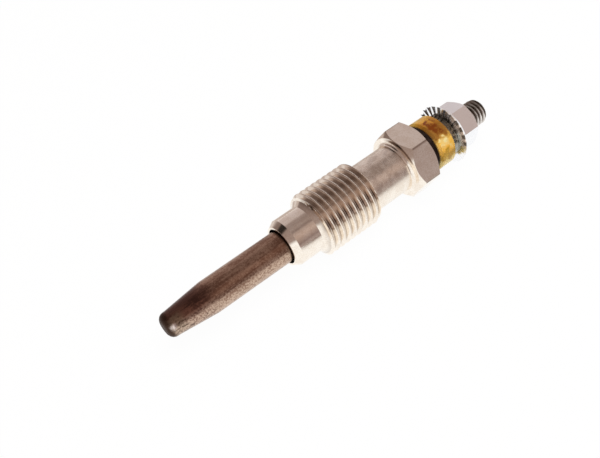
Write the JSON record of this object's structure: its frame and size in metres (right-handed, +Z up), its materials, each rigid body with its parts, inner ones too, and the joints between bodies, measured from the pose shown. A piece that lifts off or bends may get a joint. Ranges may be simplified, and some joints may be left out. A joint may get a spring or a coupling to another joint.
{
  "type": "diesel glow plug",
  "caption": "Slim diesel glow plug: tapered heater tube, threaded steel shell with a hexagon, amber insulator and a serrated flange nut on the terminal. It preheats a combustion chamber.",
  "frame": {"origin": "on the plug's axis, at the front face of the nose, where the sealing cone begins", "axes": "+X along the axis from the hot tip to the terminal, +Z up with one flat of the hexagon facing down"},
  "size_m": [0.0725, 0.0138, 0.012],
  "materials": {
    "nickel_plated_steel": "satin nickel plating with fine turning marks",
    "heat_stained_steel": "brown heat oxide, satin, with faint marks along its length",
    "resistance_wire": "drawn wire",
    "magnesia": "packed powder, matte",
    "black_rubber": "smooth moulded rubber",
    "plain_steel": "plain rolled steel",
    "amber_plastic": "clear amber moulding, glossy",
    "dark_steel": "dark oxide",
    "zinc_plated_steel": "bright zinc plating"
  },
  "bodies": {
    "root": {"shell": "nickel_plated_steel", "heater_tube": "heat_stained_steel", "heating_coil": "resistance_wire", "control_coil": "resistance_wire", "magnesia_filling": "magnesia", "tube_seal": "black_rubber", "centre_rod": "plain_steel", "gasket": "black_rubber", "insulator": "amber_plastic", "round_nut": "dark_steel", "terminal_nut": "zinc_plated_steel"}
  },
  "joints": []
}
